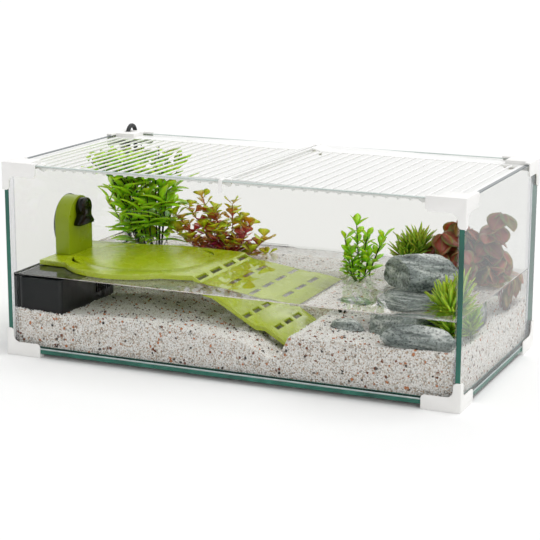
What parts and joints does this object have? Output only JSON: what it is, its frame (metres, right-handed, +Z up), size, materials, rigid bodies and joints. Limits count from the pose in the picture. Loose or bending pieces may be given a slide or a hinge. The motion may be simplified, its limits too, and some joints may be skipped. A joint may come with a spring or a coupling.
{
  "type": "reptile terrarium",
  "caption": "Low glass turtle terrarium with white corner caps, a hinged barred cover, a filter box with pump and spout, a lime basking platform with ramp, gravel, rocks and artificial plants.",
  "frame": {"origin": "on the table, under the middle of the tank", "axes": "+X to the right along the long front pane, +Y from the front pane to the rear one, +Z up"},
  "size_m": [0.6, 0.404, 0.257],
  "materials": {
    "tank_glass": "clear float glass with green edges",
    "silicone": "translucent silicone sealant",
    "white_plastic": "white moulded plastic, slightly satin",
    "black_plastic": "black moulded plastic",
    "gloss_black": "glossy black moulding",
    "sponge": "open-cell filter sponge",
    "ceramic_shaft": "ground ceramic shaft",
    "magnet_black": "moulded magnet and vanes",
    "lime_plastic": "lime green moulded plastic",
    "clear_rubber": "clear soft suction cup",
    "cable_rubber": "black flexible cable jacket",
    "plated_pins": "plated plug pins",
    "gravel": "washed aquarium gravel, white, grey, brown and rust grains",
    "slate": "rough grey-green rock",
    "green_leaf": "green artificial leaves",
    "lime_leaf": "yellow-green artificial leaves",
    "red_leaf": "red-magenta artificial leaves with lime tips",
    "bronze_leaf": "red-brown artificial leaves with green margins"
  },
  "bodies": {
    "tank": {"base_glass": "tank_glass", "front_glass": "tank_glass", "rear_glass": "tank_glass", "left_glass": "tank_glass", "right_glass": "tank_glass", "base_seam": "silicone", "corner_seams": "silicone", "foot_cap_front_left": "white_plastic", "foot_cap_front_right": "white_plastic", "foot_cap_rear_left": "white_plastic", "foot_cap_rear_right": "white_plastic", "rim_cap_front_left": "white_plastic", "rim_cap_front_right": "white_plastic", "rim_cap_rear_left": "white_plastic", "rim_cap_rear_right": "white_plastic", "front_centre_clip": "white_plastic", "rear_centre_clip": "white_plastic", "filter_box": "black_plastic", "filter_divider": "black_plastic", "filter_sponge": "sponge", "pump_housing": "black_plastic", "pump_intake_cover": "black_plastic", "impeller_shaft": "ceramic_shaft", "cable_gland": "cable_rubber", "cable": "cable_rubber", "cable_coil": "cable_rubber", "cable_tail": "cable_rubber", "plug": "cable_rubber", "plug_pins": "plated_pins", "gravel_bed": "gravel", "stone_middle": "slate", "stone_top": "slate", "stone_front": "slate", "stone_small": "slate", "plant_bush": "green_leaf", "plant_red": "red_leaf", "plant_lime": "lime_leaf", "plant_fan": "green_leaf", "plant_begonia": "bronze_leaf", "plant_grass": "green_leaf"},
    "cover_left": {"cover_left": "white_plastic"},
    "cover_right": {"cover_right": "white_plastic"},
    "platform": {"platform": "lime_plastic", "spout_tower": "lime_plastic", "suction_cup": "clear_rubber", "riser_pipe": "black_plastic"},
    "spout": {"spout": "gloss_black"},
    "impeller": {"impeller": "magnet_black"}
  },
  "joints": [
    {"name": "cover_left_hinge", "type": "hinge", "parent": "tank", "child": "cover_left", "pos_m": [-0.0055, 0, 0.2428], "axis": [0, 1, 0], "range_deg": [0, 90]},
    {"name": "cover_right_hinge", "type": "hinge", "parent": "tank", "child": "cover_right", "pos_m": [0.0055, 0, 0.2428], "axis": [0, -1, 0], "range_deg": [0, 90]},
    {"name": "platform_lift", "type": "slide", "parent": "tank", "child": "platform", "axis": [0, 0, 1], "range_m": [0, 0.05]},
    {"name": "spout_swivel", "type": "hinge", "parent": "platform", "child": "spout", "pos_m": [-0.268, -0.021, 0.169], "axis": [1, 0, 0], "range_deg": [-40, 40]},
    {"name": "impeller_spin", "type": "hinge", "parent": "tank", "child": "impeller", "pos_m": [-0.2675, -0.03, 0.0353], "axis": [0, 1, 0], "continuous": true}
  ]
}
